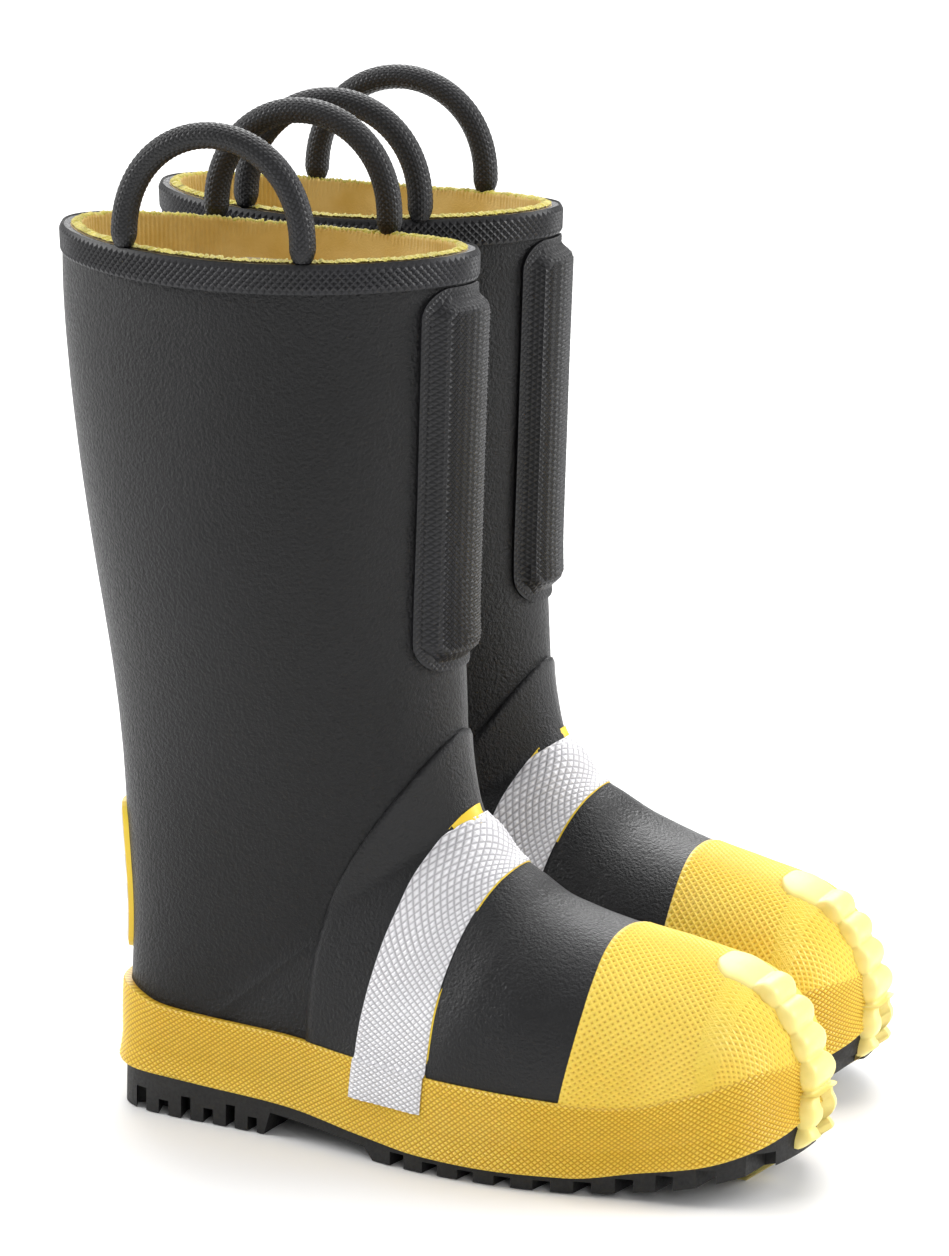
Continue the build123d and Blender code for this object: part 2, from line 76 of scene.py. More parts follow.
def smooth(rows, places):
    """Values along the rows by monotone cubic curves."""
    rows = np.asarray(rows, float)
    step = np.diff(rows, axis=0)
    a, b = step[:-1], step[1:]
    inner = np.where(a * b > 0, 2 * a * b / np.where(a * b > 0, a + b, 1), 0)
    slope = np.vstack([step[:1], inner, step[-1:]])
    places = np.asarray(places, float)
    i = np.clip(places.astype(int), 0, len(rows) - 2)
    t = (places - i)[:, None]
    return ((2 * t**3 - 3 * t**2 + 1) * rows[i] + (t**3 - 2 * t**2 + t) * slope[i]
            + (3 * t**2 - 2 * t**3) * rows[i + 1] + (t**3 - t**2) * slope[i + 1])


def slices(fine=8):
    """The slices through the boot, with one above the rim."""
    last = STATIONS[-1]
    keys = [list(row) for row in STATIONS]
    for angle in np.radians(NOSE_ANGLES):
        s, c = math.sin(angle) ** (2 / NOSE_POWER), math.cos(angle) ** (2 / NOSE_POWER)
        f = last[0] + (LENGTH - last[0]) * s
        keys.append([f, NOSE_Z - (NOSE_Z - last[1] - 9 * s) * c, f,
                     NOSE_Z + (last[3] - NOSE_Z - 7 * s) * c, last[4] * c,
                     last[5] + 3 * s, *last[6:]])
    rows = smooth(keys, np.arange(0, len(keys) - 1 + 1e-6, 1 / fine))
    top = rows[0] + np.array([-1, 22, 0.8, 22, 0, 0, 0, 0, 0])
    return np.vstack([top, rows]), len(rows) - len(NOSE_ANGLES) * fine


ROWS, NOSE_START = slices()


def unit(v):
    """Vectors at length 1."""
    return v / np.maximum(np.linalg.norm(v, axis=-1, keepdims=True), 1e-9)


def moved(offset):
    """The slices moved out of the surface by offset."""
    n = len(ROWS)
    a, b = ROWS[np.maximum(np.arange(n) - 1, 0)], ROWS[np.minimum(np.arange(n) + 1, n - 1)]
    low, high, plan = (unit((b - a)[:, cols]) for cols in ([0, 1], [2, 3], [0, 4]))
    out = ROWS.copy()
    out[:, 0] += offset * low[:, 1]
    out[:, 1] -= offset * low[:, 0]
    out[:, 2] -= offset * high[:, 1]
    out[:, 3] += offset * high[:, 0]
    side = np.where(np.arange(n) >= NOSE_START, plan[:, 0], 1)
    out[:, 4] += offset * side
    return out


def ring(row, count=120):
    """One slice's outline, with points spread evenly round it."""
    fb, zb, ft, zt, half, shift, widest, upper, lower = row
    angle = np.linspace(0, math.pi, 181)
    c, s = np.cos(angle), np.abs(np.sin(angle))
    up = c >= 0
    t = np.where(up, widest + (1 - widest) * np.abs(c) ** (2 / upper),
                 widest - widest * np.abs(c) ** (2 / lower))
    w = np.where(up, half * s ** (2 / upper), half * s ** (2 / lower))
    t, w = np.r_[t, t[-2:0:-1]], np.r_[w, -w[-2:0:-1]]
    loop = np.stack([shift + w, fb + (ft - fb) * t, zb + (zt - zb) * t], 1)
    loop = np.vstack([loop, loop[:1]])
    run = np.r_[0, np.cumsum(np.linalg.norm(np.diff(loop, axis=0), axis=1))]
    at = np.linspace(0, run[-1], count + 1)[:-1]
    return np.stack([np.interp(at, run, loop[:, k]) for k in range(3)], 1)


FORMS = {}


def form(offset):
    """A search tree over the boot's form moved out by offset."""
    if offset not in FORMS:
        grid = np.array([ring(row) for row in moved(offset)])
        rows, cols = grid.shape[:2]
        index = np.arange(rows * cols).reshape(rows, cols)
        right = np.roll(index, -1, axis=1)
        faces = np.stack([index[:-1], right[:-1], right[1:], index[1:]], -1).reshape(-1, 4)
        FORMS[offset] = BVHTree.FromPolygons(grid.reshape(-1, 3).tolist(), faces.tolist())
    return FORMS[offset]


def cast(offset, starts, ways):
    """Where rays meet the form, with the outward normals there."""
    tree = form(offset)
    starts, ways = np.broadcast_arrays(np.asarray(starts, float), np.asarray(ways, float))
    points = np.empty(starts.reshape(-1, 3).shape)
    normals = np.empty_like(points)
    for i, (o, d) in enumerate(zip(starts.reshape(-1, 3), ways.reshape(-1, 3))):
        hit, normal, _, _ = tree.ray_cast(Vector(o), Vector(d))
        if hit is None:
            hit, normal, _, _ = tree.find_nearest(Vector(o))
        points[i] = hit
        normals[i] = normal
    return points.reshape(starts.shape), normals.reshape(starts.shape)


def line(points, steps=6):
    """Side-view line through (f, z) points, as a function f(z)."""
    dense = smooth(points, np.arange(0, len(points) - 1 + 1e-6, 1 / steps))
    order = np.argsort(dense[:, 1])
    return lambda z: np.interp(z, dense[order, 1], dense[order, 0])


FOX_TOP = smooth([(-60, 57), (4, 55), (15, 52.5), (26, 49.6), (44, 47.8), (89, 46),
                  (125, 42.6), (163, 42), (202, 40.6), (234, 38.8), (253, 40.3),
                  (272, 46), (290, 52.8), (304, 57.6), (340, 58)], np.arange(0, 14.01, 0.25))
VAMP_REAR = line([(172, 200), (150, 177), (139, 164.7), (125, 144.3), (112, 119.8),
                  (105, 101.8), (101.8, 85.7), (100.5, 69), (100.2, 55), (100.8, 25)])
STRIP_REAR = line([(172, 160), (156.4, 145), (147, 129.4), (142.3, 119.6), (138.7, 108.3),
                   (134.3, 94.6), (131, 80.8), (128.4, 67), (126.6, 53), (125, 20)])
STRIP_FRONT = line([(192, 138), (177.5, 120.5), (173.5, 111.8), (170.2, 101.8),
                    (167.6, 91), (165.4, 79), (164, 67), (163.6, 54), (163.2, 42), (162, 20)])
CAP_REAR = line([(227, 125), (228, 108), (229.6, 98.8), (230.2, 90), (229.9, 80.4),
                 (228.4, 66.8), (226, 52.6), (223.6, 39.8), (220, 15)])


def fox_top(f):
    """Height of the foxing's upper edge."""
    return np.interp(f, FOX_TOP[:, 0], FOX_TOP[:, 1])


def sole_low(f):
    """Height of the form's underside."""
    keep = (ROWS[:, 1] < 36) & (ROWS[:, 0] > 3.3)
    return np.interp(f, ROWS[keep, 0], ROWS[keep, 1])


def rim_z(f):
    """Height of the top edge, which rises at the front and back."""
    return RIM_SIDE + (RIM_END - RIM_SIDE) * np.minimum(((f - 55) / 94) ** 2, 1.6)


def even(points, count):
    """Points spread evenly along a closed line."""
    loop = np.vstack([points, points[:1]])
    run = np.r_[0, np.cumsum(np.linalg.norm(np.diff(loop, axis=0), axis=1))]
    at = np.linspace(0, run[-1], count + 1)[:-1]
    return np.stack([np.interp(at, run, loop[:, k]) for k in range(loop.shape[1])], 1)


def plan(count):
    """The foot's outline from above, (x, f), and its outward normals."""
    heel = next(i for i, r in enumerate(ROWS) if r[1] < 19.2)
    fb, zb, ft, zt, half, shift, widest, upper, lower = ROWS[heel]
    t = 0.14 * (np.arange(7) / 6) ** 2
    w = half * (1 - ((widest - t) / widest) ** lower) ** (1 / lower)
    side = [(shift, wi, fb + (ft - fb) * ti * 0.8) for wi, ti in zip(w, t)]
    side += [(r[5], r[4] * 0.99, r[0] + 0.1 * (r[2] - r[0])) for r in ROWS[heel + 4:]]
    side = np.array(side)
    loop = np.vstack([np.stack([side[:, 0] + side[:, 1], side[:, 2]], 1),
                      np.stack([side[:, 0] - side[:, 1], side[:, 2]], 1)[:0:-1]])
    loop = even(loop, count)
    for _ in range(4):
        loop = (np.roll(loop, 1, 0) + 2 * loop + np.roll(loop, -1, 0)) / 4
    along = unit(np.roll(loop, -1, 0) - np.roll(loop, 1, 0))
    return loop, np.stack([along[:, 1], -along[:, 0]], 1)


# ------------------------------------------------------------------ meshes
def stand(points, side):
    """Boot millimetres to the frame's metres."""
    p = np.asarray(points, float).reshape(-1, 3)
    x, y = -side * p[:, 0], -p[:, 1]
    a = math.radians(side * TURN)
    X = x * math.cos(a) - y * math.sin(a) + side * SPACING / 2
    Y = x * math.sin(a) + y * math.cos(a) + side * STAGGER / 2 + MOVE_Y
    return np.stack([X, Y, p[:, 2]], 1) * MM


def lattice(rows, cols, wrap_rows=False, wrap_cols=False, pointed=None):
    """Faces of a grid.  Pointed cells are cut in two along their valleys."""
    faces = []
    last_row = rows if wrap_rows else rows - 1
    last_col = cols if wrap_cols else cols - 1
    for i in range(last_row):
        k = (i + 1) % rows
        for j in range(last_col):
            m = (j + 1) % cols
            a, b, c, d = i * cols + j, i * cols + m, k * cols + m, k * cols + j
            if pointed is None or not pointed(i):
                faces.append((a, b, c, d))
            elif (i + j) % 2:
                faces += [(a, b, c), (a, c, d)]
            else:
                faces += [(a, b, d), (b, c, d)]
    return faces


SHAPES = {}
NAP_COLS = 215 * 4      # points round the lining: four to each of its ribs
NAP_EDGE = 2 * NAP_COLS  # faces of the cut edge, which come first


def shape(name, grid, smooth_shade=True, crest=None, **how):
    """Keep a piece's points and faces until both boots are made from it."""
    rows, cols = grid.shape[:2]
    SHAPES[name] = (grid.reshape(-1, 3), lattice(rows, cols, **how), smooth_shade, crest)


def crests(rows, cols, total):
    """1 on the raised points of a knurl and 0 in its valleys, for a grid of total rows; the knurled
    finishes paint shade where it is low.
    """
    i, j = np.meshgrid(np.arange(total), np.arange(cols), indexing="ij")
    return np.where((i < rows) & ((i + j) % 2 == 0), 1.0, 0.0).ravel()


def studs(rows, cols, height, edge=1):
    """Raised points in a checkerboard, none on the first and last rows."""
    i, j = np.meshgrid(np.arange(rows), np.arange(cols), indexing="ij")
    rise = np.where((i + j) % 2 == 0, height, 0.0)
    rise[:edge] = 0
    rise[rows - edge:] = 0
    return rise[..., None]


def band_loop(outer, inner):
    """A closed band: its outer face down, then its inner face up."""
    return np.concatenate([outer, inner[::-1]])


# ------------------------------------------------------------------ the pieces' shapes
def make_foxing():
    """The knurled yellow strip round the foot, flared at its lower edge."""
    cols, rows = 520, 30
    loop, out = plan(cols)
    f = loop[:, 1]
    top, low = fox_top(f), sole_low(f) + 0.9
    t = np.linspace(0, 1, rows)[:, None]
    z = top + (low - top) * t
    starts = np.stack([np.broadcast_to(loop[:, 0] + 45 * out[:, 0], z.shape),
                       np.broadcast_to(loop[:, 1] + 45 * out[:, 1], z.shape), z], -1)
    ways = np.stack([-out[:, 0], -out[:, 1], 0 * f], -1)[None]
    outer, normal = cast(3.15, starts, ways)
    flat = unit(normal * [1, 1, 0.2])
    widest = int(rows * 0.66)
    outer[widest:, :, :2] = outer[widest, :, :2]
    flat[widest:] = flat[widest]
    flare = 1.6 * np.clip((t - 0.66) / 0.34, 0, 1) ** 1.5
    outer = outer + flat * (studs(rows, cols, 0.8) + flare[..., None] - 0.3)
    outer[..., 2] = np.where(np.arange(rows)[:, None] >= widest, z, outer[..., 2])
    inside, _ = cast(0.1, starts[::rows // 5][:5], ways)
    lower, _ = cast(0.1, starts[-1:] + [0, 0, 3.0], ways)
    lower[..., 2] = starts[-1, :, 2]
    grid = band_loop(outer, np.concatenate([inside, lower]))
    shape("foxing", grid, False, crests(rows, cols, len(grid)), wrap_rows=True,
          wrap_cols=True, pointed=lambda i: i < rows - 1)


def around(offset, front, phi, floor_z=26.0):
    """Points where the form meets the side-view line front(z), at angles over the top."""
    points = np.zeros((len(phi), 3))
    normals = np.zeros((len(phi), 3))
    for k, a in enumerate(phi):
        z = floor_z + 90 * math.sin(a)
        shift = front(z)
        for _ in range(5):
            lean = unit(np.array([front(floor_z + 90) - front(floor_z), 90.0]))
            way = np.array([[-math.cos(a), math.sin(a) * lean[0], math.sin(a) * lean[1]]])
            start = np.array([[0.0, shift, floor_z]])
            p, n = cast(offset, start, way)
            shift += front(p[0, 2]) - p[0, 1]
        points[k], normals[k] = p[0], n[0]
    return points, normals


def make_strip():
    """The knurled reflective strip over the instep, lapped over the foxing."""
    cols, rows = 150, 21
    phi = np.linspace(0.0, math.pi, cols)
    grid = []
    for t in np.linspace(0, 1, rows):
        at = lambda z, t=t: STRIP_REAR(z) * (1 - t) + STRIP_FRONT(z) * t
        p, n = around(2.45, at, phi)
        grid.append((p, n))
    points = np.array([g[0] for g in grid])
    normals = np.array([g[1] for g in grid])
    lap = np.clip((fox_top(points[..., 1]) + 1.2 - points[..., 2]) / 1.6, 0, 1)[..., None]
    outer = points + normals * (studs(rows, cols, 0.5) + lap * 1.5)
    inner = points + normals * (lap * 1.5 - 0.45)
    shape("reflective_strip", band_loop(outer, inner), False, crests(rows, cols, 2 * rows),
          wrap_rows=True,
          pointed=lambda i: i < rows - 1)


def make_cap():
    """The knurled yellow cover of the toe cap."""
    cols, rows = 112, 62
    phi = np.linspace(0.02, math.pi - 0.02, cols)
    tree_rows = []
    for t in np.linspace(0, 1, rows):
        if t < 0.6:
            ahead = 62 * t / 0.6
            p, n = around(2.15, lambda z: CAP_REAR(z) + ahead, phi, 33)
        else:
            tilt = (t - 0.6) / 0.4 * math.radians(86)
            base = 229 + 62 - 12
            way = np.stack([-np.cos(phi), np.sin(phi) * math.sin(tilt),
                            np.sin(phi) * math.cos(tilt)], 1)
            start = np.array([6.0, base, 36.0])
            p, n = cast(2.15, np.broadcast_to(start, way.shape), way)
        tree_rows.append((p, n))
    points = np.array([r[0] for r in tree_rows])
    normals = np.array([r[1] for r in tree_rows])
    gap = np.linalg.norm(points - np.roll(points, 1, axis=1), axis=-1, keepdims=True)
    rise = studs(rows, cols, 1.0) * np.clip(gap / 2.2, 0.1, 0.72)
    outer = points + normals * rise
    tucked = points[:1] - normals[:1] * 1.0
    shape("toe_cap_cover", np.concatenate([tucked, outer]), False,
          1 - crests(rows + 1, cols, rows + 1),
          pointed=lambda i: i > 0)


def make_binding():
    """The knurled binding round the top edge."""
    cols, rows = 300, 8
    angle = np.linspace(0, 2 * math.pi, cols, endpoint=False)
    dense = np.linspace(0, 2 * math.pi, 2000, endpoint=False)
    oval = np.stack([56 * np.cos(dense), 54.7 + 94 * np.sin(dense)], 1)
    oval = even(oval, cols)
    out = unit(np.stack([oval[:, 0] / 56**2, (oval[:, 1] - 54.7) / 94**2], 1))
    t = np.linspace(0, 1, rows)[:, None]
    z = rim_z(oval[:, 1]) - 0.2 - t * (BAND - 0.4)
    starts = np.stack([np.broadcast_to(oval[:, 0] + 40 * out[:, 0], z.shape),
                       np.broadcast_to(oval[:, 1] + 40 * out[:, 1], z.shape), z], -1)
    ways = np.stack([-out[:, 0], -out[:, 1], 0 * out[:, 0]], -1)[None]
    outer, normal = cast(1.5, starts, ways)
    outer = outer + normal * studs(rows, cols, 0.8)
    inner, _ = cast(0.1, starts[[0, -1]], ways)
    roll, _ = cast(0.9, starts[:1] + [0, 0, 0.9], ways)
    shape("rim_binding", np.concatenate([roll, outer, inner[::-1]]), False,
          np.r_[np.zeros(cols), crests(rows, cols, rows + 2)], wrap_rows=True,
          wrap_cols=True, pointed=lambda i: 0 < i < rows)


GUARD = (-25.8, 21.0, 207.5, 371.5)


def make_guard():
    """The shin guard: a flat flange and a raised pad, with coarse points."""
    x0, x1, z0, z1 = GUARD
    cols, rows = 37, 125
    x = np.linspace(x0, x1, cols)[None]
    z = np.linspace(z1, z0, rows)[:, None]
    x, z = np.broadcast_arrays(x, z)
    x, z = x.copy(), z.copy()
    radius = 13.0
    cx, cz = np.clip(x, x0 + radius, x1 - radius), np.clip(z, z0 + radius, z1 - radius)
    away = np.hypot(x - cx, z - cz)
    pull = np.where(away > radius, radius / np.maximum(away, 1e-6), 1)
    x, z = cx + (x - cx) * pull, cz + (z - cz) * pull
    edge = np.minimum(np.minimum(x - x0, x1 - x), np.minimum(z - z0, z1 - z))
    edge = np.where(away > 0, np.minimum(edge, radius - np.hypot(x - cx, z - cz)), edge)
    rise = 5.3 * np.clip((edge - 4.2) / 4.2, 0, 1)
    rise = rise - 0.25 * np.clip(1 - np.abs(edge - 9) / 1.5, 0, 1)
    starts = np.stack([x, np.full(x.shape, 230.0), z], -1)
    points, normals = cast(1.8, starts, [[[0.0, -1.0, 0.0]]])
    coarse = studs(rows, cols, 1.0, 0) * np.where(edge > 9.5, 0.85, 0.4)[..., None]
    outer = points + normals * (rise[..., None] + coarse * (edge > 0.4)[..., None])
    rim = points - normals * 1.6
    grid = np.full((rows + 2, cols + 2, 3), 0.0)
    grid[1:-1, 1:-1] = outer
    grid[0, 1:-1], grid[-1, 1:-1] = rim[0], rim[-1]
    grid[1:-1, 0], grid[1:-1, -1] = rim[:, 0], rim[:, -1]
    grid[0, 0], grid[0, -1], grid[-1, 0], grid[-1, -1] = rim[0, 0], rim[0, -1], rim[-1, 0], rim[-1, -1]
    shape("shin_guard_cover", grid, False, crests(rows + 2, cols + 2, rows + 2),
          pointed=lambda i: True)


def across(offset, front, phi, low=26.0):
    """Points where the form meets the side-view line front(z), by rays that rise to its top."""
    rows = moved(offset)[12:]
    high = np.linspace(60, 225, 500)
    order = np.argsort(rows[:, 3])
    gap = front(high) - np.interp(high, rows[order, 3], rows[order, 2])
    top = high[np.argmax(gap > 0)] - 0.1
    z = low + (top - low) * 0.86 * np.sin(phi)
    lean = unit(np.array([front(top) - front(top * 0.86), top * 0.14]))
    starts = np.stack([0 * z, front(z), z], 1)
    ways = np.stack([-np.cos(phi), np.sin(phi) ** 6 * lean[0], np.sin(phi) ** 6 * lean[1]], 1)
    return cast(offset, starts, ways)


def make_overlay():
    """The second rubber layer over the foot, from its rear edge to the toe cap."""
    cols, rows = 120, 44
    phi = np.linspace(0.0, math.pi, cols)
    grid = []
    for t in np.linspace(0, 1, rows):
        at = lambda z, t=t: VAMP_REAR(z) * (1 - t) + (CAP_REAR(z) + 1.5) * t
        points, normals = across(1.0, at, phi)
        if t == 0:
            grid.append(points - normals * 1.6)
        grid.append(points + normals * (0.8 if t > 0 else 0.2))
    shape("vamp_overlay", np.array(grid))


def make_bumper():
    """The pale bumper: a tongue on the cap, then ribs down the nose."""
    rows, cols = 200, 37
    psi = np.linspace(math.radians(87), 0, 300)
    way = np.stack([0 * psi, np.cos(psi), np.sin(psi)], -1)
    spine, _ = cast(2.2, [7.0, 268.0, 40.0], way)
    run = np.r_[0, np.cumsum(np.linalg.norm(np.diff(spine, axis=0), axis=1))]
    full = run[-1] + 19.0
    at = np.linspace(0, full, rows)
    psi = np.interp(at, run, psi)
    drop = np.maximum(at - run[-1], 0)
    tongue, pitch = 21.0, 12.6
    beat = np.abs(np.sin(np.maximum(at - tongue, 0) / pitch * math.pi)) ** 0.75
    tip = np.sqrt(np.clip(1 - (np.clip(10 - at, 0, 10) / 10) ** 2, 0.02, 1))
    half = np.interp(at, [0, 10, tongue - 1, tongue + 3, 60, full],
                     [16.5, 16.5, 14.0, 10.4, 10.4, 12.5])
    half = half * tip + 2.4 * beat
    wave = at > tongue
    s = np.linspace(-1, 1, cols)
    x = 7.0 + half[:, None] * s[None]
    starts = np.stack([x, np.full(x.shape, 268.0), np.full(x.shape, 40.0)], -1)
    ways = np.stack([0 * psi, np.cos(psi), np.sin(psi)], -1)[:, None, :]
    points, normals = cast(2.2, starts, ways)
    points[..., 2] -= drop[:, None]
    over_fox = np.clip((fox_top(points[..., 1]) - points[..., 2]) / 2.0, 0, 1)[..., None]
    side = (1 - np.abs(s) ** 12)[None, :, None]
    ends = np.clip(at / 2.0, 0, 1)[:, None, None] ** 0.5
    ends = ends * np.clip((full - at) / 4, 0.1, 1)[:, None, None]
    thick = 0.3 + ends * side * (1.8 + (0.5 + 3.4 * beat)[:, None, None]
                                 * wave[:, None, None])
    outer = points + normals * (thick + over_fox * 1.4)
    inner = points - normals * 0.6
    shape("toe_bumper", np.concatenate([inner[:, :1], outer, inner[:, -1:]], 1))


def make_lining_nap():
    """The knitted ribs on the lining's inner face, with a fuzzy cut edge at the top."""
    rows, cols = 44, NAP_COLS
    dense = np.linspace(0, 2 * math.pi, 4000, endpoint=False)
    oval = even(np.stack([40 * np.cos(dense), 54.7 + 70 * np.sin(dense)], 1), cols)
    centre = np.array([0.0, 54.7])
    out = unit(oval - centre)
    t = np.linspace(0, 1, rows)[:, None] ** 1.3
    z = rim_z(54.7 + (oval[:, 1] - 54.7) * 1.25) + 1.0 - t * 170
    starts = np.stack([np.zeros(z.shape), np.full(z.shape, 54.7), z], -1)
    ways = np.stack([out[:, 0], out[:, 1], 0 * out[:, 0]], -1)[None]
    points, normals = cast(-7.25, starts, ways)
    rng = np.random.default_rng(7)
    rib = np.array([0.0, 0.35, 0.6, 0.35])[np.arange(cols) % 4][None, :, None]
    fuzz = rng.uniform(-0.12, 0.12, z.shape)[..., None]
    inward = points - normals * (rib + fuzz)
    top_fuzz = rng.uniform(-0.5, 0.9, cols)
    inward[0, :, 2] += top_fuzz
    back, _ = cast(-3.2, starts[:1], ways)
    back[..., 2] += top_fuzz * 0.5 + 0.1
    middle = (inward[:1] + back) / 2 + [0, 0, 0.8] + rng.uniform(-0.3, 0.3, (1, cols, 3))
    shape("lining_nap", np.concatenate([back, middle, inward]), True, wrap_cols=True)


for make in (make_foxing, make_strip, make_cap, make_overlay, make_binding, make_guard, make_bumper,
             make_lining_nap):
    make()


# ------------------------------------------------------------------ finishes
def linear(code):
    """An sRGB hex colour as linear light."""
    parts = [int(code[i:i + 2], 16) / 255 for i in (1, 3, 5)]
    return tuple(c / 12.92 if c <= 0.04045 else ((c + 0.055) / 1.055) ** 2.4
                 for c in parts) + (1.0,)


def add(tree, kind, inputs=(), **settings):
    """A shader node with its settings; a socket given as an input is linked."""
    made = tree.nodes.new("ShaderNode" + kind)
    for key, value in settings.items():
        setattr(made, key, value)
    for key, value in dict(inputs).items():
        if isinstance(value, bpy.types.NodeSocket):
            tree.links.new(value, made.inputs[key])
        else:
            made.inputs[key].default_value = value
    return made


WAVE_UNIT = 20           # bands that the wave texture draws in one metre at scale 1


def finish_of(name, dark, light, grain, depth, rough, mottle=60.0, ribs=None, painted_valley_shade=None,
              **shader):
    """A finish with a grain of so many millimetres, a slow colour change and a bump, and, where a
    valley colour is given, painted shade in a knurl's valleys.
    """
    material = bpy.data.materials.new(name)
    material.use_nodes = True
    tree = material.node_tree
    tree.nodes.clear()
    where = add(tree, "TexCoord").outputs["Object"]
    slow = add(tree, "TexNoise", {"Vector": where, "Scale": 1000 / mottle, "Detail": 5.0})
    fine = add(tree, "TexNoise", {"Vector": where, "Scale": 1000 / grain, "Detail": 3.0,
                                  "Roughness": 0.6})
    blend = add(tree, "MapRange", {"Value": slow.outputs[0], "From Min": 0.35,
                                   "From Max": 0.65})
    colour = add(tree, "Mix", {0: blend.outputs[0], 6: linear(dark), 7: linear(light)},
                 data_type="RGBA")
    # painted shade: where the crest attribute is low, in a knurl's valleys, the colour turns to the
    # darker valley colour
    if painted_valley_shade:
        high = add(tree, "Attribute", attribute_name="crest").outputs["Fac"]
        low = add(tree, "MapRange", {"Value": high, "From Max": 0.55})
        colour = add(tree, "Mix", {0: low.outputs[0], 6: linear(painted_valley_shade),
                                   7: colour.outputs[2]}, data_type="RGBA")
    dusty = add(tree, "MapRange", {"Value": fine.outputs[0], "From Min": 0.3, "From Max": 0.7,
                                   "To Min": rough[0], "To Max": rough[1]})
    height = fine.outputs[0]
    if ribs:
        split = add(tree, "TexWave", {"Vector": where, "Scale": 1000 / ribs / WAVE_UNIT,
                                      "Distortion": 1.5, "Detail": 2.0}, bands_direction="X")
        height = add(tree, "Math", {0: fine.outputs[0], 1: split.outputs[1]},
                     operation="ADD").outputs[0]
    bump = add(tree, "Bump", {"Height": height, "Distance": depth * MM, "Strength": 1.0})
    main = add(tree, "BsdfPrincipled", {"Base Color": colour.outputs[2],
                                        "Roughness": dusty.outputs[0],
                                        "Normal": bump.outputs[0], **shader})
    add(tree, "OutputMaterial", {"Surface": main.outputs[0]})
    return material


# vulcanised black rubber: an orange-peel grain that sparkles where light grazes it
BLACK = finish_of("vulcanised_black_rubber", "#060607", "#0c0c0e", 1.5, 1.1, (0.34, 0.52),
                  **{"Specular IOR Level": 0.36})
# the same rubber over the toes, polished by its mould, so it shines more
POLISHED = finish_of("polished_black_rubber", "#060607", "#0c0c0f", 1.4, 0.7, (0.28, 0.42),
                     **{"Specular IOR Level": 0.42})
# knurled black rubber: its valley colour is painted shade that darkens the knurl's hollows
KNURLED = finish_of("knurled_black_rubber_painted_valley_shade", "#141416", "#1f1f23", 0.8, 0.05, (0.36, 0.52),
                    painted_valley_shade="#050506", **{"Specular IOR Level": 0.4})
# carbon-black sole compound: dull, with dust in its grain
SOLE = finish_of("lugged_sole_rubber", "#0d0d0e", "#171615", 1.6, 0.15, (0.55, 0.75))
# pigmented yellow rubber: slightly waxy, a little light enters it
YELLOW = finish_of("moulded_yellow_rubber", "#ecc42a", "#f5d23a", 1.0, 0.04, (0.38, 0.5),
                   **{"Subsurface Weight": 0.08, "Subsurface Scale": 0.002})
PALE = finish_of("pale_yellow_rubber", "#f0dc80", "#f6e592", 1.0, 0.03, (0.34, 0.46),
                 **{"Subsurface Weight": 0.1, "Subsurface Scale": 0.002})
# knurled yellow rubber: its valley colour is painted shade, a darker ochre in the knurl's hollows
KNURLED_YELLOW = finish_of("knurled_yellow_rubber_painted_valley_shade", "#efcb48", "#f5d758", 1.0, 0.03,
                           (0.36, 0.48), painted_valley_shade="#c2931a", **{"Subsurface Weight": 0.06,
                                                              "Subsurface Scale": 0.002})
# glass-bead reflective tape: silver white with a soft metallic gleam
SILVER = finish_of("glass_bead_reflective_tape", "#dcdbde", "#ecebee", 0.7, 0.03, (0.35, 0.5),
                   **{"Metallic": 0.2})
# knurled reflective tape: its valley colour is painted shade, a grey in the knurl's hollows
KNURLED_SILVER = finish_of("knurled_reflective_tape_painted_valley_shade", "#e4e3e6", "#f2f1f4", 0.7, 0.03,
                           (0.35, 0.5), painted_valley_shade="#a9a7ab", **{"Metallic": 0.2})
# knitted aramid felt: warm yellow, matt, with a soft nap
FELT = finish_of("knitted_aramid_felt", "#c9a650", "#dcc078", 0.9, 0.3, (0.9, 1.0),
                 mottle=25, **{"Sheen Weight": 0.35, "Sheen Roughness": 0.5})
CUT = finish_of("cut_felt_edge", "#a79a2e", "#c9bb4a", 0.7, 0.4, (0.92, 1.0),
                mottle=6, **{"Sheen Weight": 0.4})
STEEL = finish_of("pressed_steel", "#8c8e90", "#a3a5a7", 0.8, 0.01, (0.3, 0.42),
                  **{"Metallic": 1.0})
FOAM = finish_of("closed_cell_foam", "#3a3a3c", "#474749", 0.9, 0.1, (0.8, 0.95))
CLOTH = finish_of("brushed_footbed_fabric", "#4a4a45", "#5a5a53", 0.8, 0.2, (0.85, 1.0),
                  ribs=1.2, **{"Sheen Weight": 0.3})
BOARD = finish_of("pressed_fibre_board", "#8a6e4a", "#9d8058", 1.5, 0.08, (0.7, 0.85))
LABEL = finish_of("woven_white_label", "#e6e2d6", "#f1eee4", 0.6, 0.04, (0.6, 0.75),
                  ribs=0.6)

NODE_FINISH = {
    "outsole": SOLE, "rubber_shell": BLACK, "rim_binding": KNURLED, "lining": FELT,
    "pull_loop_outer": KNURLED, "pull_loop_inner": KNURLED, "loop_tab_outer": BLACK,
    "loop_tab_inner": BLACK, "shin_guard_cover": KNURLED, "shin_guard_pad": FOAM,
    "vamp_overlay": POLISHED, "reflective_strip": SILVER, "strip_backing": YELLOW,
    "toe_cap_cover": YELLOW, "toe_bumper": PALE, "foxing": YELLOW, "steel_toe_cap": STEEL,
    "toe_cap_gasket": KNURLED, "steel_midsole": STEEL, "shank": STEEL, "insole_board": BOARD,
    "footbed": CLOTH, "cushion": FOAM, "heel_counter": BOARD, "back_stay": BLACK,
    "heel_patch": SILVER, "heel_patch_backing": YELLOW, "heel_patch_disc": YELLOW,
    "inner_label": LABEL,
}
for name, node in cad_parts.items():
    node.data.materials.clear()
    node.data.materials.append(NODE_FINISH[name.split("_", 1)[1]])


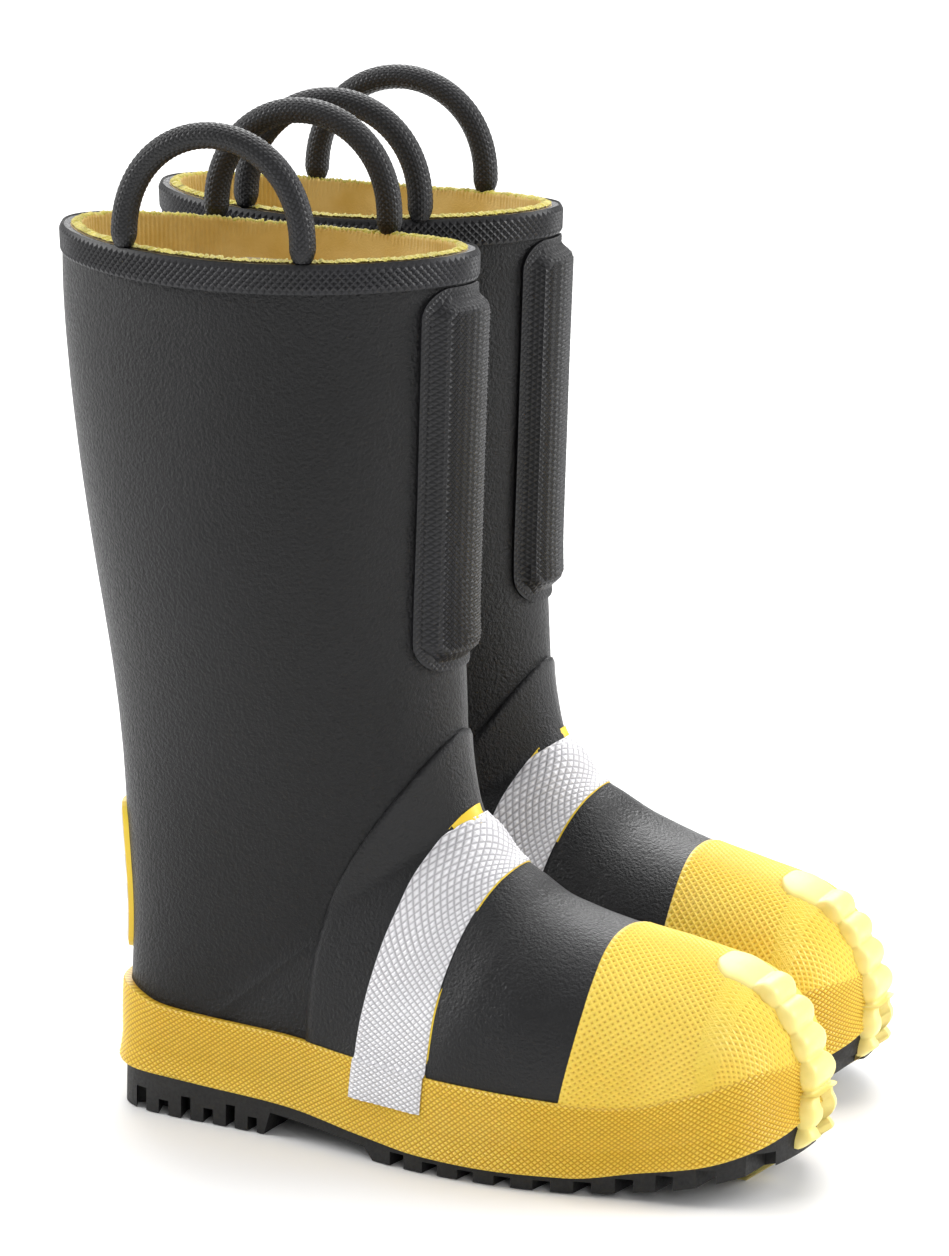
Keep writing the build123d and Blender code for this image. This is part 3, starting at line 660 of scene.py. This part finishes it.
# ------------------------------------------------------------------ the pieces
def piece(name, body, points, faces, material, replaced=(), smooth_shade=True,
          crest=None):
    """A mesh object that rides on a body and stands for the CAD nodes it replaces."""
    mesh = bpy.data.meshes.new(name)
    mesh.from_pydata([tuple(p) for p in points], [], [tuple(map(int, f)) for f in faces])
    mesh.update()
    # the crest attribute masks the painted shade in the valleys of the knurled finishes
    if crest is not None:
        mesh.attributes.new("crest", "FLOAT", "POINT").data.foreach_set("value", crest)
    mesh.materials.append(material)
    mesh.polygons.foreach_set("use_smooth", [smooth_shade] * len(mesh.polygons))
    obj = bpy.data.objects.new(name, mesh)
    bpy.context.scene.collection.objects.link(obj)
    if body:
        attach(obj, body)
    if replaced:
        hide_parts(*replaced)
    return obj


LOOP_X, LOOP_HALF, LOOP_RISE, LOOP_R, HINGE_Z = 47.8, 42.0, 44.7, 5.6, 386.9
LOOP_MIDDLE = {"right_outer": 53.5, "right_inner": 47.0, "left_outer": 54.5, "left_inner": 63.0}


def pull_loop(middle, x):
    """A knurled round tube from foot to foot."""
    angle = np.linspace(0, math.pi, 76)
    path = np.stack([np.full(76, x), middle - LOOP_HALF * np.cos(angle),
                     HINGE_Z + LOOP_RISE * np.sin(angle) ** 0.92], 1)
    feet = np.linspace(6, 1.0, 6)[:, None] * [[0, 0, -1]]
    path = np.vstack([path[0] + feet, path, path[-1] + feet[::-1]])
    run = np.r_[0, np.cumsum(np.linalg.norm(np.diff(path, axis=0), axis=1))]
    count = int(run[-1] / 1.3)
    at = np.linspace(0, run[-1], count)
    path = np.stack([np.interp(at, run, path[:, k]) for k in range(3)], 1)
    along = unit(np.gradient(path, axis=0))
    side = np.array([1.0, 0, 0])
    across = np.cross(along, side)
    cols = 26
    turn = np.linspace(0, 2 * math.pi, cols, endpoint=False)
    ray = side * np.cos(turn)[None, :, None] + across[:, None] * np.sin(turn)[None, :, None]
    sink = np.clip((path[:, 2] - HINGE_Z + 6.0) / 6.0, 0, 1)[:, None, None]
    radius = (LOOP_R - 0.12) * (0.45 + 0.55 * sink**0.5) + studs(count, cols, 0.24)
    return path[:, None] + ray * radius, count, cols


PIECES = (
    ("foxing", KNURLED_YELLOW, "yellow_rubber"),
    ("reflective_strip", KNURLED_SILVER, "reflective"),
    ("toe_cap_cover", KNURLED_YELLOW, "yellow_rubber"),
    ("rim_binding", KNURLED, "black_rubber"),
    ("shin_guard_cover", KNURLED, "black_rubber"),
    ("toe_bumper", PALE, "pale_yellow_rubber"),
    ("vamp_overlay", POLISHED, "black_rubber"),
)
for foot, side in BOOTS:
    body = foot + "_boot"
    for key, material, slot in PIECES:
        points, faces, rounded, crest = SHAPES[key]
        if side > 0:
            faces = [f[::-1] for f in faces]
        piece(f"{foot}_{key}_knurled" if not rounded else f"{foot}_{key}_waved", body,
              stand(points, side), faces, material, [f"{foot}_{key}"], rounded, crest)
    points, faces, rounded, crest = SHAPES["lining_nap"]
    nap = piece(f"{foot}_lining_nap", body, stand(points, side), faces, FELT, ())
    nap.data.materials.append(CUT)
    nap.data.polygons.foreach_set("material_index",
                                  [int(i < NAP_EDGE) for i in range(len(nap.data.polygons))])
    for node, name, material, slot in (("lining", "lining_felt", FELT, "yellow_felt"),
                                       ("footbed", "footbed_padded", CLOTH, "foam_fabric")):
        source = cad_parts[f"{foot}_{node}"].data
        points = [tuple(v.co) for v in source.vertices]
        faces = [tuple(p.vertices) for p in source.polygons]
        made = piece(f"{foot}_{name}", None, points, faces, material)
        if node == "footbed":
            bpy.context.view_layer.objects.active = made
            remesh = made.modifiers.new("even_skin", "REMESH")
            remesh.mode = "VOXEL"
            remesh.voxel_size = 0.0022
            soften = made.modifiers.new("soften", "SMOOTH")
            soften.iterations = 4
            for modifier in ("even_skin", "soften"):
                with bpy.context.temp_override(object=made, active_object=made):
                    bpy.ops.object.modifier_apply(modifier=modifier)
        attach(made, body)
        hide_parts(f"{foot}_{node}")
    for where in ("outer", "inner"):
        sign = -1 if where == "outer" else 1
        grid, count, cols = pull_loop(LOOP_MIDDLE[f"{foot}_{where}"], sign * LOOP_X)
        faces = lattice(count, cols, wrap_cols=True, pointed=lambda i: True)
        loop = piece(f"{foot}_pull_loop_{where}_knurled", None,
                     stand(grid.reshape(-1, 3), side), faces, KNURLED,
                     [f"{foot}_pull_loop_{where}"], False,
                     crests(count, cols, count))
        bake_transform(loop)

# ------------------------------------------------------------------ camera, floor and light
TARGET = Vector((0.02504, 0.01403, 0.20093))
AZIMUTH, ELEVATION, ROLL, DISTANCE = -66.53, 12.886, 1.373, 2.3017
az, el, roll = (math.radians(v) for v in (AZIMUTH, ELEVATION, ROLL))
back = Vector((math.sin(az) * math.cos(el), -math.cos(az) * math.cos(el), math.sin(el)))
right0 = (-back).cross(Vector((0, 0, 1))).normalized()
up0 = right0.cross(-back)
right = right0 * math.cos(roll) + up0 * math.sin(roll)
up = up0 * math.cos(roll) - right0 * math.sin(roll)
lens = bpy.data.cameras.new("camera")
lens.sensor_fit = "VERTICAL"
lens.sensor_height = 36.0
lens.lens = 5180.3 / 1256 * 36.0
lens.clip_end = 100
camera = bpy.data.objects.new("camera", lens)
bpy.context.scene.collection.objects.link(camera)
turn = Matrix((right, up, back)).transposed().to_4x4()
camera.matrix_world = Matrix.Translation(TARGET + back * DISTANCE) @ turn
bpy.context.scene.camera = camera

floor_mesh = bpy.data.meshes.new("floor")
floor_mesh.from_pydata([(-20, -20, 0), (20, -20, 0), (20, 20, 0), (-20, 20, 0)], [], [(0, 1, 2, 3)])
floor_mesh.materials.append(finish_of("pale_studio_floor", "#f4f4f4", "#f7f7f7", 40, 0.0,
                                      (0.9, 1.0), mottle=3000))
floor = bpy.data.objects.new("floor", floor_mesh)
bpy.context.scene.collection.objects.link(floor)
floor.location.z = -0.0004


def softbox(name, place, size, power):
    """A large square light that faces the boots."""
    light = bpy.data.lights.new(name, "AREA")
    light.shape = "SQUARE"
    light.size = size
    light.energy = power
    lamp = bpy.data.objects.new(name, light)
    lamp.location = place
    way = Vector((0, 0, 0.2)) - Vector(place)
    lamp.rotation_euler = way.to_track_quat("-Z", "Y").to_euler()
    bpy.context.scene.collection.objects.link(lamp)


def from_camera(sideways, high, behind):
    """A place given by how far right of, above and beyond the boots it is, for the light."""
    level = Vector((right.x, right.y, 0)).normalized()
    ahead = -Vector((back.x, back.y, 0)).normalized()
    return level * sideways + ahead * behind + Vector((0, 0, high))


softbox("overhead_box", from_camera(0.0, 3.2, 0.6), 3.0, 70)
softbox("backdrop_box", from_camera(0.0, 4.5, 6.0), 5.0, 420)
softbox("right_box", from_camera(2.6, 1.6, 0.3), 1.6, 62)
softbox("left_box", from_camera(-2.6, 1.5, 0.6), 1.4, 44)
softbox("front_box", from_camera(0.9, 1.6, -3.2), 1.2, 14)
world = bpy.data.worlds.new("studio")
world.use_nodes = True
world.node_tree.nodes["Background"].inputs["Color"].default_value = (1, 1, 1, 1)
world.node_tree.nodes["Background"].inputs["Strength"].default_value = 0.45
bpy.context.scene.world = world
bpy.context.scene.view_settings.view_transform = "Standard"
